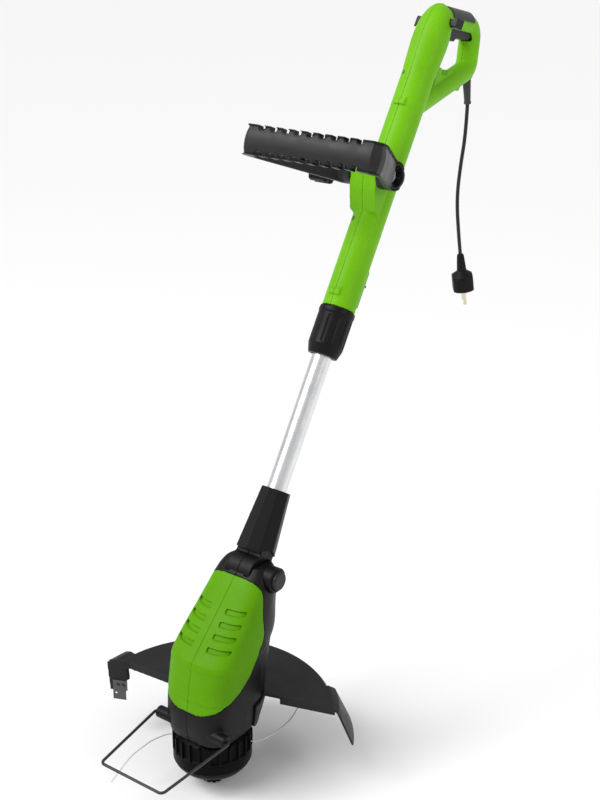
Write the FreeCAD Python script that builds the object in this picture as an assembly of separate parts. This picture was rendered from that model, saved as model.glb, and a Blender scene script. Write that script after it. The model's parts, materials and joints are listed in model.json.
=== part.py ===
import FreeCAD, Part
import math
import os

V = FreeCAD.Vector
os.makedirs("parts", exist_ok=True)

# Driving dimensions, millimetres.  The spool axis is the vertical z axis, the bump knob's foot is
# at z = GROUND, the operator walks behind the head (+y) and x is sideways.  Parts of the handle and shaft are
# drawn upright along z in the shaft's own frame (x sideways, y away from the ground, z up the
# shaft from the tilt pivot) and laid over by SHAFT_TILT afterwards.
SHAFT_TILT = 31.9
PIVOT_Y = 72.2
PIVOT_Z = 221.3
RUN_FIT = 0.05
GAP = 0.3

TUBE_R = 12.5
TUBE_WALL = 1.2
TUBE_BOTTOM = 44.0
TUBE_LENGTH = 480.0

BODY_BOTTOM = 335.0
BODY_R = 20.8
BODY_TOP_R = 22.7
BODY_WALL = 2.5
BODY_STEP = 648.0
BODY_SHOULDER = 697.0
BODY_TOP = 742.0

LOOP_R = 14.0
LOOP_WALL = 2.5
LOOP_BEND = 18.0
GRIP_START = (0.0, 724.0)
GRIP_END = (80.0, 753.7)
STRUT_LOW = (102.0, 703.0)
STRUT_ROOT = (0.0, 596.6)

COLLAR_BOTTOM = 274.0
COLLAR_LENGTH = 60.0
COLLAR_R = 22.8
SLEEVE_R = 15.5
SLEEVE_TOP = 402.0
CLAMP_LENGTH = 15.0

AUX_PIVOT_N = -32.0
AUX_PIVOT_S = 502.0
AUX_REACH = 140.0
AUX_WIDTH = 192.0
AUX_BAND = 36.0
AUX_WALL = 11.0
AUX_LIFT = 11.1
HUB_R = 18.0
HUB_INNER = 19.3
HUB_OUTER = 40.0
HUB_BOSS = 10.0
CLAMP_KNOB_R = 22.0
BOLT_R = 4.0

NECK_TOP = 102.0
NECK_TOP_R = 18.6
NECK_LOW_R = 24.3
TONGUE_HALF = 18.0
TONGUE_R = 24.0
EAR_R = 29.0
EAR_HALF = 30.0
EAR_BEVEL = 6.0
PIN_R = 4.0

GROUND = -33.0
HEAD_BOTTOM = 42.0
HEAD_WALL = 4.0
SPOOL_R = 48.0
SPOOL_TOP = 40.5
SPOOL_RIM = 14.0
SPOOL_ROOF = 35.0
EYELET_Z = 23.0
EYELET_ANGLES = (28.5, 208.5)
KNOB_R = 16.5
SHAFT_R = 3.0
CAN_R = 24.0
CAN_BOTTOM = 90.0
CAN_TOP = 150.0

SHIELD_TOP = 72.0
SHIELD_WALL = 2.5
SHIELD_R = 149.0
SHIELD_FLARE_R = 176.0
LINE_R = 0.8

CORD_R = 2.5
PLUG_FACE = 52.0
PLUG_PIN_R = 2.4
PLUG_PIN_LENGTH = 19.0
PLUG_ROOT_R = 1.9
PLUG_PIN_X = (-9.5, 9.5)
RELIEF_LENGTH = 32.0

GRIP_ORIGIN = (45.0, 740.7)


# ---------------------------------------------------------------- general helpers
def box(x0, x1, y0, y1, z0, z1):
    return Part.makeBox(x1 - x0, y1 - y0, z1 - z0, V(x0, y0, z0))


def cyl_x(x0, x1, y, z, r):
    return Part.makeCylinder(r, x1 - x0, V(x0, y, z), V(1, 0, 0))


def cyl_z(z0, z1, r, x=0.0, y=0.0):
    return Part.makeCylinder(r, z1 - z0, V(x, y, z0), V(0, 0, 1))


def ring_z(z0, z1, r_in, r_out):
    return cyl_z(z0, z1, r_out).cut(cyl_z(z0 - 1, z1 + 1, r_in))


def revolved(points):
    """Solid of revolution about z from (radius, height) corner points."""
    corners = [V(r, 0, z) for r, z in points]
    corners.append(corners[0])
    face = Part.Face(Part.makePolygon(corners))
    return face.revolve(V(0, 0, 0), V(0, 0, 1), 360)


def prism_x(points, x0, x1):
    """Prism along x from (y, z) corner points."""
    corners = [V(x0, y, z) for y, z in points]
    corners.append(corners[0])
    return Part.Face(Part.makePolygon(corners)).extrude(V(x1 - x0, 0, 0))


def prism_z(points, z0, z1):
    """Prism along z from (x, y) corner points."""
    corners = [V(x, y, z0) for x, y in points]
    corners.append(corners[0])
    return Part.Face(Part.makePolygon(corners)).extrude(V(0, 0, z1 - z0))


def spun(shape, angle, centre=V(0, 0, 0), axis=V(0, 0, 1)):
    turned = shape.copy()
    turned.rotate(centre, axis, angle)
    return turned


def moved(shape, x, y, z):
    shifted = shape.copy()
    shifted.translate(V(x, y, z))
    return shifted


def left_half(shape):
    return shape.common(box(-400, 0, -900, 900, -900, 1500))


def right_half(shape):
    return shape.common(box(0, 400, -900, 900, -900, 1500))


def mirrored(shape):
    return shape.mirror(V(0, 0, 0), V(1, 0, 0))


def bent_wire(points, radii):
    """Straight runs through the points joined by tangent arcs; one radius per inner point."""
    edges = []
    start = points[0]
    for i in range(1, len(points) - 1):
        before = (points[i] - points[i - 1]).normalize()
        after = (points[i + 1] - points[i]).normalize()
        half_turn = before.getAngle(after) / 2
        back = radii[i - 1] * math.tan(half_turn)
        arc_in = points[i] - before * back
        arc_out = points[i] + after * back
        inward = (after - before).normalize()
        centre = points[i] + inward * (radii[i - 1] / math.cos(half_turn))
        middle = centre - inward * radii[i - 1]
        edges.append(Part.makeLine(start, arc_in))
        edges.append(Part.Arc(arc_in, middle, arc_out).toShape())
        start = arc_out
    edges.append(Part.makeLine(start, points[-1]))
    return Part.Wire(edges)


def round_sweep(points, radii, r):
    path = bent_wire(points, radii)
    direction = points[1] - points[0]
    section = Part.Wire(Part.makeCircle(r, points[0], direction))
    return path.makePipeShell([section], True, False)


def spring(r, wire, height, turns):
    """Closed coil along z with its lowest wire edge at z = 0."""
    rise = height - 2 * wire
    path = Part.makeHelix(rise / turns, rise, r)
    section = Part.Wire(Part.makeCircle(wire, V(r, 0, 0), V(0, 1, 0)))
    coil = Part.Wire(path).makePipeShell([section], True, True)
    return moved(coil, 0, 0, wire)


def aimed(shape, base, direction):
    """Turn a shape drawn along z so that it runs along a direction from a base point."""
    placed = shape.copy()
    turn = FreeCAD.Rotation(V(0, 0, 1), direction)
    placed.Placement = FreeCAD.Placement(base, turn).multiply(placed.Placement)
    return placed


def place_shaft(shape):
    laid = shape.copy()
    laid.rotate(V(0, 0, 0), V(1, 0, 0), -SHAFT_TILT)
    laid.translate(V(0, PIVOT_Y, PIVOT_Z))
    return laid


def shaft_point(x, n, s):
    t = math.radians(SHAFT_TILT)
    y = PIVOT_Y + n * math.cos(t) + s * math.sin(t)
    z = PIVOT_Z - n * math.sin(t) + s * math.cos(t)
    return V(x, y, z)


ORIGIN = shaft_point(0, GRIP_ORIGIN[0], GRIP_ORIGIN[1])


def save(name, shape):
    out = shape.copy()
    out.translate(ORIGIN * -1)
    if out.ShapeType == "Compound" and len(out.Solids) == 1:
        out = out.Solids[0]
    good = out.isValid() and len(out.Solids) > 0
    print(name, "solids", len(out.Solids), "valid", good, "volume", round(out.Volume, 1))
    out.exportStep("parts/" + name + ".step")


def save_shaft(name, shape):
    save(name, place_shaft(shape))


# ---------------------------------------------------------------- rear handle housing
GRIP_RUN = V(0, GRIP_END[0] - GRIP_START[0], GRIP_END[1] - GRIP_START[1]).normalize()
GRIP_UP = V(0, -GRIP_RUN.z, GRIP_RUN.y)
GRIP_ANGLE = math.degrees(math.atan2(GRIP_RUN.z, GRIP_RUN.y))


def on_grip(shape):
    """Place a shape drawn with y along the grip and z out of its back."""
    laid = spun(shape, GRIP_ANGLE, axis=V(1, 0, 0))
    return moved(laid, 0, GRIP_START[0], GRIP_START[1])


def loop_sweep(r):
    points = [V(0, p[0], p[1]) for p in (GRIP_START, GRIP_END, STRUT_LOW, STRUT_ROOT)]
    return round_sweep(points, [LOOP_BEND, LOOP_BEND], r)


def body_round(inset):
    """Round body of the handle with its crowned top, shrunk by a wall thickness."""
    r = BODY_R - inset
    top_r = BODY_TOP_R - inset
    rise = BODY_TOP - inset - BODY_SHOULDER
    points = [(0, BODY_BOTTOM), (r, BODY_BOTTOM), (r, BODY_STEP), (top_r, BODY_STEP + 38)]
    for a in range(0, 90, 10):
        turn = math.radians(a)
        points.append((top_r * math.cos(turn), BODY_SHOULDER + rise * math.sin(turn)))
    points.append((0, BODY_SHOULDER + rise))
    return revolved(points)


def front_ramp(s_low, length):
    """Ramp-shaped boss on the front seam with a stepped lower end."""
    front = -BODY_R - 2.4
    points = [(-BODY_R + 4, s_low), (front, s_low), (front, s_low + 5), (-BODY_R + 4, s_low + length)]
    return prism_x(points, -8, 8).common(cyl_z(s_low - 1, s_low + length + 1, -front))


def saddle():
    n = AUX_PIVOT_N
    s = AUX_PIVOT_S
    points = [(-10, s - 47), (-BODY_R + 0.5, s - 45), (n - 4, s - 23), (n - 13.5, s - 4),
              (n - 12, s + 8), (n, s + 15), (-BODY_R + 0.5, s + 22), (-10, s + 30)]
    lug = prism_x(points, -HUB_INNER + GAP, HUB_INNER - GAP)
    return lug.fuse(cyl_x(-HUB_INNER + GAP, HUB_INNER - GAP, n, s, 14))


def latch_lug():
    block = box(-11, 11, 10, BODY_R + 4.7, BODY_BOTTOM + 3, BODY_BOTTOM + 63)
    cap = spun(block, 0).common(cyl_z(BODY_BOTTOM + 2, BODY_BOTTOM + 64, BODY_R + 5.8))
    nose = prism_x([(10, BODY_BOTTOM + 2), (BODY_R + 6, BODY_BOTTOM + 12),
                    (BODY_R + 6, BODY_BOTTOM + 55), (10, BODY_BOTTOM + 70)], -12, 12)
    return cap.common(nose)


def cable_hook():
    """Post on the lower strut that holds a loop of extension lead beside the body."""
    low = STRUT_ROOT[1] + 62
    points = [(29.5, low - 20), (29.5, low + 13), (37, low + 15), (37, low + 7), (52, low + 13),
              (52, low + 20), (78, low + 30), (92, low + 34), (92, low + 10)]
    return prism_x(points, -7, 7)


def housing_outer():
    parts = [loop_sweep(LOOP_R), front_ramp(BODY_BOTTOM + 13, 17), front_ramp(BODY_BOTTOM + 262, 17),
             saddle(), latch_lug(), cable_hook()]
    return body_round(0).fuse(parts).removeSplitter()


SCREW_SPOTS = [(-15.9, 446.0), (15.9, 446.0), (15.9, 560.0), (-15.9, 640.0), (62.0, 661.3),
               (98.0, 711.5)]


def housing_inner():
    hollow = body_round(BODY_WALL).cut(box(-60, 60, -60, 60, 300, BODY_BOTTOM))
    hollow = hollow.fuse(loop_sweep(LOOP_R - LOOP_WALL))
    low_ring = cyl_z(BODY_BOTTOM, BODY_BOTTOM + 10, 30)
    high_ring = cyl_z(BODY_BOTTOM + 52, BODY_BOTTOM + 60, 30)
    hollow = hollow.cut([low_ring, high_ring])
    rib = on_grip(box(-12, 12, 26, 54, 9, 14))
    hollow = hollow.cut(rib)
    posts = [cyl_x(-30, 30, n, s, 3.2) for n, s in SCREW_SPOTS]
    return hollow.cut(posts)


def latch_pocket():
    low = BODY_BOTTOM + 15
    slot = box(-7.3, 7.3, BODY_R + 0.2, 40, low, low + 38)
    window = box(-4.3, 4.3, 14, 40, low + 2, low + 28)
    return slot.fuse(window)


def trigger_slot():
    return on_grip(box(-8.3, 8.3, 17.5, 78.5, -20, -3))


def lock_slots():
    return box(-40, 40, -1.3, 11.3, 713.7, 723.3)


def screw_cuts():
    cuts = []
    for n, s in SCREW_SPOTS:
        cuts.append(cyl_x(-30, 9, n, s, 1.5))
        cuts.append(cyl_x(-40, -screw_seat(n, s) + 0.001, n, s, 3.0))
    return cuts


def screw_seat(n, s):
    """Depth beside the seam where a screw head sits."""
    return 9.0


def relief_axis():
    """World point where the cord leaves the housing and the direction it takes."""
    start = shaft_point(0, 112.5, 693.0)
    return start, V(0, 5.6, -32.1).normalize()


def relief_seat():
    """Hole for the strain relief, in the shaft frame."""
    start, direction = relief_axis()
    bore = aimed(cyl_z(-9, 8, 5.6).fuse(cyl_z(-9, -3, 7.6)), start, direction)
    bore.translate(V(0, -PIVOT_Y, -PIVOT_Z))
    bore.rotate(V(0, 0, 0), V(1, 0, 0), SHAFT_TILT)
    return bore


def housing_halves():
    shell = housing_outer().cut(housing_inner())
    bearing = cyl_z(BODY_BOTTOM - 1, BODY_BOTTOM + 61, SLEEVE_R + RUN_FIT)
    flange_room = cyl_z(BODY_BOTTOM + 10, BODY_BOTTOM + 52, BODY_R - BODY_WALL)
    pivot = cyl_x(-40, 40, AUX_PIVOT_N, AUX_PIVOT_S, BOLT_R)
    pin_holes = on_grip(cyl_x(-12, 12, 20, -9, 2.0))
    cuts = [bearing, flange_room, pivot, latch_pocket(), trigger_slot(), lock_slots(), relief_seat(),
            pin_holes]
    left = left_half(shell.cut(cuts))
    right = mirrored(left)
    return left.cut(screw_cuts()), right.cut(screw_cuts())


def screw_set(spots):
    screws = []
    for n, s in spots:
        seat = screw_seat(n, s)
        shank = cyl_x(-seat, 9, n, s, 1.5)
        head = cyl_x(-seat - 2.2, -seat, n, s, 3.0)
        cross = box(-seat - 2.3, -seat - 1.4, n - 0.4, n + 0.4, s - 2, s + 2)
        screws.append(shank.fuse(head).cut(cross))
    return Part.makeCompound(screws)


def grip_pad():
    skin = Part.makeCylinder(LOOP_R + 2, 53.5, V(0, 14, 0), V(0, 1, 0))
    skin = skin.cut(Part.makeCylinder(LOOP_R, 80, V(0, 8, 0), V(0, 1, 0)))
    skin = skin.common(box(-30, 30, 0, 100, 2.0, 30))
    return on_grip(skin).cut([body_round(0)])


def trigger_blade():
    d0 = 18.2
    profile = [(d0, -5.5), (d0, -13), (25, -23.5), (33, -25.5), (39, -20.5), (68, -20.0),
               (77.8, -11), (77.8, -5.5), (28, -5.5)]
    blade = prism_x(profile, -8.0, 8.0)
    return blade


def trigger():
    blade = trigger_blade()
    blade = blade.cut(box(-5.5, 5.5, 26, 75, -17.5, 0))
    blade = blade.cut(cyl_x(-12, 12, 20, -9, 2.0 + RUN_FIT))
    return on_grip(blade)


def trigger_pin():
    return on_grip(cyl_x(-11.0, 11.0, 20, -9, 2.0))


def trigger_switch():
    case = box(-6.5, 6.5, 28, 52, -1.5, 9)
    plunger = box(-2, 2, 38, 42, -3.0, -1.5)
    return on_grip(case.fuse(plunger))


def lock_off_lever():
    bar = box(-22.5, 22.5, -1.0, 6.7, 714.0, 723.0)
    tab = prism_z([(21.8, -1.0), (26.5, -1.0), (30.5, 6.7), (21.8, 6.7)], 714.0, 723.0)
    return bar.fuse([tab, mirrored(tab)]).cut(box(-14, 14, -3, 8, 716.5, 740))


def rotation_latch():
    low = BODY_BOTTOM + 15.4
    plate = box(-7.0, 7.0, BODY_R + 0.5, BODY_R + 3.5, low, low + 26)
    lip = box(-7.0, 7.0, BODY_R + 0.5, BODY_R + 12.0, low + 24, low + 27)
    tooth = box(-4.0, 4.0, BODY_R - BODY_WALL + 0.1, BODY_R + 1, low + 2, low + 10)
    return plate.fuse([lip, tooth])


def latch_spring():
    coil = spring(1.1, 0.3, 10.3, 5)
    return moved(coil, 0, BODY_R + 2.0, BODY_BOTTOM + 42.5)


# ---------------------------------------------------------------- telescopic shaft
def swivel_sleeve():
    low = COLLAR_BOTTOM + 2 + CLAMP_LENGTH
    outer = cyl_z(low, SLEEVE_TOP, SLEEVE_R)
    flange = cyl_z(BODY_BOTTOM + 28, BODY_BOTTOM + 32, BODY_R - BODY_WALL - GAP)
    stop = cyl_z(BODY_BOTTOM + 61, BODY_BOTTOM + 64, SLEEVE_R + 1.6)
    sleeve = outer.fuse([flange, stop])
    return sleeve.cut([cyl_z(low - 1, SLEEVE_TOP + 1, TUBE_R + RUN_FIT)])


def locking_collar():
    z0 = COLLAR_BOTTOM
    z1 = COLLAR_BOTTOM + COLLAR_LENGTH
    r = COLLAR_R
    body = revolved([(13.4, z0), (r - 4.4, z0), (r - 0.8, z0 + 12), (r - 0.8, z1 - 8), (r, z1 - 6),
                     (r - 0.6, z1), (SLEEVE_R + RUN_FIT, z1), (SLEEVE_R + RUN_FIT, z0 + 2),
                     (13.4, z0 + 2)])
    grooves = [spun(box(r - 1.8, r + 3, -1.6, 1.6, z0 + 15, z1 - 11), a) for a in range(15, 375, 30)]
    return body.cut(grooves)


def clamp_ring():
    z0 = COLLAR_BOTTOM + 2 + GAP
    z1 = COLLAR_BOTTOM + 2 + CLAMP_LENGTH
    ring = ring_z(z0, z1, TUBE_R + RUN_FIT, SLEEVE_R - 0.1)
    slit = box(-1.0, 1.0, 0, 30, z0 - 1, z1 + 1)
    return ring.cut(slit)


def shaft_tube():
    return ring_z(TUBE_BOTTOM, TUBE_BOTTOM + TUBE_LENGTH, TUBE_R - TUBE_WALL, TUBE_R)


def tube_plugs():
    r = TUBE_R - TUBE_WALL
    low = ring_z(TUBE_BOTTOM, TUBE_BOTTOM + 12, 3.0, r)
    top = TUBE_BOTTOM + TUBE_LENGTH
    high = ring_z(top - 12, top, 3.0, r)
    return Part.makeCompound([low, high])


def inner_lead():
    top = TUBE_BOTTOM + TUBE_LENGTH
    lead = cyl_z(TUBE_BOTTOM, top, 3.0)
    return lead


# ---------------------------------------------------------------- front loop handle
def aux_frame(shape):
    """Place a shape drawn with y forward along the loop and z across its band."""
    laid = spun(shape, 180 + AUX_LIFT, axis=V(1, 0, 0))
    return moved(laid, 0, AUX_PIVOT_N, AUX_PIVOT_S)


def loop_outline(inset):
    half = AUX_WIDTH / 2 - inset
    reach = AUX_REACH - inset
    root = HUB_OUTER - inset
    return [(-root, -1), (-root, 6), (-half + 1, reach - 20), (-half, reach - 9), (-half + 8, reach),
            (half - 8, reach), (half, reach - 9), (half - 1, reach - 20), (root, 6), (root, -1)]


def band_notches():
    notches = []
    count = 9
    pitch = (AUX_WIDTH - 36) / count
    for i in range(count):
        x = (i - (count - 1) / 2) * pitch
        for side in (-1, 1):
            floor = side * (AUX_BAND / 2 - 6.0)
            edge = side * (AUX_BAND / 2 + 2)
            low, high = min(floor, edge), max(floor, edge)
            notches.append(box(x - 3.4, x + 3.4, AUX_REACH - 18, AUX_REACH + 4, low, high))
    return notches


def aux_handle():
    half = AUX_BAND / 2
    band = prism_z(loop_outline(0), -half, half)
    band = band.cut(prism_z(loop_outline(AUX_WALL), -half - 1, half + 1))
    band = band.cut(band_notches())
    band = band.cut(box(-150, 150, -10, 0, -40, 40))
    hubs = [cyl_x(-HUB_OUTER, -HUB_INNER, 0, 0, HUB_R), cyl_x(HUB_INNER, HUB_OUTER, 0, 0, HUB_R),
            cyl_x(-HUB_OUTER - HUB_BOSS, -HUB_OUTER, 0, 0, 12.0)]
    loop = band.fuse(hubs)
    loop = loop.cut([cyl_x(-60, 60, 0, 0, BOLT_R + RUN_FIT), cyl_x(HUB_INNER + 8, 60, 0, 0, 13.5)])
    web = [cyl_x(HUB_INNER + 8, HUB_OUTER - 5, 0, 0, 13.6).common(
           spun(box(0, 60, -14, 14, -0.9, 0.9), a, axis=V(1, 0, 0))) for a in (0, 60, 120)]
    loop = loop.fuse(web).cut(cyl_x(HUB_INNER + 8, 60, 0, 0, 8.0))
    return aux_frame(loop)


def aux_pivot_bolt():
    shank = cyl_x(-HUB_OUTER - HUB_BOSS - 22, HUB_INNER + 8, AUX_PIVOT_N, AUX_PIVOT_S, BOLT_R)
    corners = [(AUX_PIVOT_N + 7.4 * math.cos(math.radians(a)),
                AUX_PIVOT_S + 7.4 * math.sin(math.radians(a))) for a in range(0, 360, 60)]
    head = prism_x(corners, HUB_INNER + 8.1, HUB_INNER + 14)
    neck = cyl_x(HUB_INNER + 8, HUB_INNER + 8.2, AUX_PIVOT_N, AUX_PIVOT_S, BOLT_R)
    return shank.fuse([neck, head])


def aux_clamp_knob():
    x0 = -HUB_OUTER - HUB_BOSS - GAP
    knob = cyl_x(x0 - 30, x0 - 6, 0, 0, CLAMP_KNOB_R).fuse(cyl_x(x0 - 6, x0, 0, 0, 12.0))
    knob = knob.cut(cyl_x(x0 - 23, x0 + 1, 0, 0, BOLT_R + RUN_FIT))
    flutes = []
    for a in range(0, 360, 40):
        y = (CLAMP_KNOB_R + 2.5) * math.cos(math.radians(a))
        z = (CLAMP_KNOB_R + 2.5) * math.sin(math.radians(a))
        flutes.append(cyl_x(x0 - 31, x0 - 5, y, z, 5.0))
    return moved(knob.cut(flutes), 0, AUX_PIVOT_N, AUX_PIVOT_S)


# ---------------------------------------------------------------- neck and tilt joint
def octagon(s, r):
    points = [V(r * math.cos(math.radians(a)), r * math.sin(math.radians(a)), s)
              for a in range(0, 405, 45)]
    return Part.makePolygon(points)


NECK_SCREWS = [(0.0, 35.5), (12.0, -12.0)]


def neck_solid():
    body = Part.makeLoft([octagon(24, NECK_LOW_R + 0.5), octagon(NECK_TOP, NECK_TOP_R)], True, True)
    body = body.cut(cyl_x(-40, 40, 0, 0, EAR_R + 0.6))
    tongue = box(-TONGUE_HALF, TONGUE_HALF, -14, 14, 0, 33)
    disc = cyl_x(-TONGUE_HALF, TONGUE_HALF, 0, 0, TONGUE_R)
    body = body.fuse([tongue, disc])
    bore = cyl_z(TUBE_BOTTOM, NECK_TOP + 2, TUBE_R)
    pin = cyl_x(-40, 40, 0, 0, PIN_R + RUN_FIT)
    return body.cut([bore, pin])


def neck_screw_set():
    screws = []
    for n, s in NECK_SCREWS:
        shank = cyl_x(-10, 9, n, s, 1.5)
        head = cyl_x(-12.2, -10, n, s, 3.0)
        screws.append(shank.fuse(head))
    return Part.makeCompound(screws)


def neck_halves():
    body = neck_solid()
    for n, s in NECK_SCREWS:
        body = body.cut([cyl_x(-10, 9, n, s, 1.5), cyl_x(-40, -10, n, s, 3.0)])
    return left_half(body), right_half(body)


def tilt_pin():
    return cyl_x(-EAR_HALF + 2, EAR_HALF - 8, PIVOT_Y, PIVOT_Z, PIN_R)


def tilt_button_bezel():
    outer = cyl_x(EAR_HALF, EAR_HALF + 14, PIVOT_Y, PIVOT_Z, 15.5)
    outer = outer.makeFillet(2.0, [e for e in outer.Edges if e.BoundBox.XMin > EAR_HALF + 13.9])
    return outer.cut(cyl_x(EAR_HALF - 1, EAR_HALF + 15, PIVOT_Y, PIVOT_Z, 12.0))


def tilt_button():
    cap = cyl_x(EAR_HALF + 1, EAR_HALF + 18, PIVOT_Y, PIVOT_Z, 12.0 - RUN_FIT)
    return cap.makeFillet(2.5, [e for e in cap.Edges if e.BoundBox.XMin > EAR_HALF + 17.9])


def tilt_button_spring():
    coil = spring(7.0, 0.6, 8.7, 4)
    return moved(spun(coil, 90, axis=V(0, 1, 0)), EAR_HALF - 7.8, PIVOT_Y, PIVOT_Z)


# ---------------------------------------------------------------- head shells
HEAD_LEVELS = [(HEAD_BOTTOM, -42.5, 62.0, 43.5, 42.0), (60.0, -45.5, 73.0, 46.0, 44.0), (97.0, -43.5, 83.0, 47.0, 44.0),
               (121.0, -39.5, 87.0, 47.5, 44.0), (145.0, -34.8, 93.0, 47.0, 44.0)]
CROWN_LEVELS = [(145.0, -34.8, 93.0, 47.0, 44.0), (178.0, -2.1, 100.0, 44.0, 38.0),
                (205.0, 24.8, 101.0, 40.0, 32.0), (226.0, 45.3, 97.0, 36.0, 25.0),
                (236.0, 55.3, 91.0, 30.0, 18.0)]
HEAD_SCREWS = [(60.0, 88.0), (74.0, 150.0), (83.0, 178.0), (-30.5, 120.0), (22.0, 185.0)]


def egg(z, front, back, half, nose, inset):
    """Head cross-section: blunt at the front, elliptical at the back."""
    middle = front + nose
    points = []
    for i in range(28):
        a = 2 * math.pi * i / 28
        c, s = math.cos(a), math.sin(a)
        power = 0.62 if s < 0 else 0.9
        depth = nose - inset if s < 0 else back - middle - inset
        x = (half - inset) * math.copysign(abs(c) ** power, c)
        y = middle + depth * math.copysign(abs(s) ** power, s)
        points.append(V(x, y, z))
    curve = Part.BSplineCurve()
    curve.interpolate(points, PeriodicFlag=True)
    return Part.Wire(curve.toShape())


def head_volume(inset):
    low = Part.makeLoft([egg(*level, inset) for level in HEAD_LEVELS], True, False)
    high = Part.makeLoft([egg(*level, inset) for level in CROWN_LEVELS], True, False)
    return low.fuse(high)


def ear_block():
    inner = EAR_HALF - EAR_BEVEL
    block = revolved([(0, -EAR_HALF), (EAR_R - EAR_BEVEL, -EAR_HALF), (EAR_R, -inner), (EAR_R, inner),
                      (EAR_R - EAR_BEVEL, EAR_HALF), (0, EAR_HALF)])
    return moved(spun(block, 90, axis=V(0, 1, 0)), 0, PIVOT_Y, PIVOT_Z)


def neck_slot():
    disc = cyl_x(-TONGUE_HALF - 0.4, TONGUE_HALF + 0.4, PIVOT_Y, PIVOT_Z, TONGUE_R + 0.4)
    fan = [(PIVOT_Y, PIVOT_Z)]
    for a in (-37, -10, 30, 70, 112):
        fan.append((PIVOT_Y + 90 * math.sin(math.radians(a)), PIVOT_Z + 90 * math.cos(math.radians(a))))
    return disc.fuse(prism_x(fan, -TONGUE_HALF - 0.4, TONGUE_HALF + 0.4))


def guard_lugs():
    return [cyl_x(-53.0, -30.0, -36, 59, 7.5), cyl_x(30.0, 53.0, -36, 59, 7.5)]


def cover_region():
    points = [(-90, 82), (-46.0, 82.5), (-44.0, 84.5), (-40.0, 89), (-26, 97.5), (-5, 106.5),
              (17, 122), (35, 144), (44, 163), (46, 185), (50, 205), (50.5, 214), (46.0, 225.7),
              (20, 252), (-90, 252)]
    return prism_x(points, -80, 80)


def vent_slots():
    slots = []
    for i in range(4):
        z = 157.5 + 11.5 * i
        for side in (-1, 1):
            x0, x1 = sorted((side * 10.5, side * (38.5 - 1.2 * i)))
            slots.append(box(x0, x1, -60, z - 158, z, z + 4.8))
    return slots


def head_solid():
    outer = head_volume(0).fuse([ear_block()] + guard_lugs())
    cavity = head_volume(HEAD_WALL).cut(box(-90, 90, -90, 150, 0, HEAD_BOTTOM + 3))
    floors = [box(-90, 90, -90, 150, 92, 95), box(-90, 90, -90, 150, 138, 141)]
    posts = [cyl_x(-60, 60, y, z, 3.8) for y, z in HEAD_SCREWS]
    shield_posts = [cyl_z(0, 58, 3.6, x, y) for x, y in SHIELD_SCREWS]
    cavity = cavity.cut([ear_block()] + floors + posts + shield_posts)
    return outer.cut(cavity)


SHIELD_SCREWS = [(-11.0, 56.6), (11.0, 56.6)]


def head_cuts():
    cuts = [neck_slot(), cyl_z(0, CAN_BOTTOM, 26.0), cyl_z(CAN_BOTTOM, CAN_TOP, CAN_R)]
    cuts.append(cyl_z(CAN_TOP - 1, CAN_TOP + 14, 10.0))
    cuts.append(cyl_x(-70, 70, -36, 59, WIRE_R + RUN_FIT))
    for x, y in SHIELD_SCREWS:
        cuts.append(cyl_z(0, 54, 1.5, x, y))
    return cuts


def handed_cuts():
    """Cuts that are not the same on both sides of the seam."""
    cuts = [cyl_x(-EAR_HALF + 2, 60, PIVOT_Y, PIVOT_Z, PIN_R)]
    cuts.append(cyl_x(EAR_HALF - 8, 60, PIVOT_Y, PIVOT_Z, 12.0))
    cuts.append(cyl_x(EAR_HALF, 60, PIVOT_Y, PIVOT_Z, 15.5))
    for y, z in HEAD_SCREWS:
        cuts.append(cyl_x(-20, 9, y, z, 1.5))
        cuts.append(cyl_x(-60, -14, y, z, 3.0))
    return cuts


WIRE_R = 1.75


def head_pieces():
    shell = left_half(head_solid().cut(head_cuts()))
    region = cover_region()
    cover = shell.common(region).cut(vent_slots())
    black = shell.cut(region)
    cuts = handed_cuts()
    return black.cut(cuts), mirrored(black).cut(cuts), cover.cut(cuts), mirrored(cover).cut(cuts)


def head_screw_set():
    screws = []
    for y, z in HEAD_SCREWS:
        screws.append(cyl_x(-14, 9, y, z, 1.5).fuse(cyl_x(-16.4, -14, y, z, 3.0)))
    return Part.makeCompound(screws)


# ---------------------------------------------------------------- motor
def motor_can():
    can = revolved([(8, CAN_TOP), (8, CAN_TOP - 3), (CAN_R - 2, CAN_TOP - 3), (CAN_R - 2, CAN_BOTTOM),
                    (CAN_R, CAN_BOTTOM), (CAN_R, CAN_TOP)])
    return can


def motor_magnets():
    ring = ring_z(CAN_BOTTOM + 12, CAN_TOP - 9, 18.8, CAN_R - 2)
    gaps = box(-5, 5, -40, 40, 60, 200)
    return ring.cut(gaps)


def brush_plate():
    plate = ring_z(CAN_BOTTOM, CAN_BOTTOM + 4, 8.0, CAN_R - 2)
    holders = [box(9, 19, -3.5, 3.5, CAN_BOTTOM + 4, CAN_BOTTOM + 11.5),
               box(-19, -9, -3.5, 3.5, CAN_BOTTOM + 4, CAN_BOTTOM + 11.5)]
    slots = [box(8, 20, -2.0, 2.0, CAN_BOTTOM + 5.5, CAN_BOTTOM + 10),
             box(-20, -8, -2.0, 2.0, CAN_BOTTOM + 5.5, CAN_BOTTOM + 10)]
    return plate.fuse(holders).cut(slots)


def carbon_brushes():
    z0 = CAN_BOTTOM + 5.5
    z1 = CAN_BOTTOM + 10
    return Part.makeCompound([box(7.8, 17, -2, 2, z0, z1), box(-17, -7.8, -2, 2, z0, z1)])


def bearing(z0, z1):
    return ring_z(z0, z1, SHAFT_R + 0.02, 8.0)


def motor_shaft():
    return cyl_z(0, CAN_TOP + 4, SHAFT_R)


def armature_core():
    core = cyl_z(CAN_BOTTOM + 15, CAN_TOP - 12, 18.2)
    slots = []
    for a in range(0, 360, 45):
        slots.append(spun(box(12, 20, -1.5, 1.5, CAN_BOTTOM, CAN_TOP), a))
    return core.cut([cyl_z(0, 200, SHAFT_R)] + slots)


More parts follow.
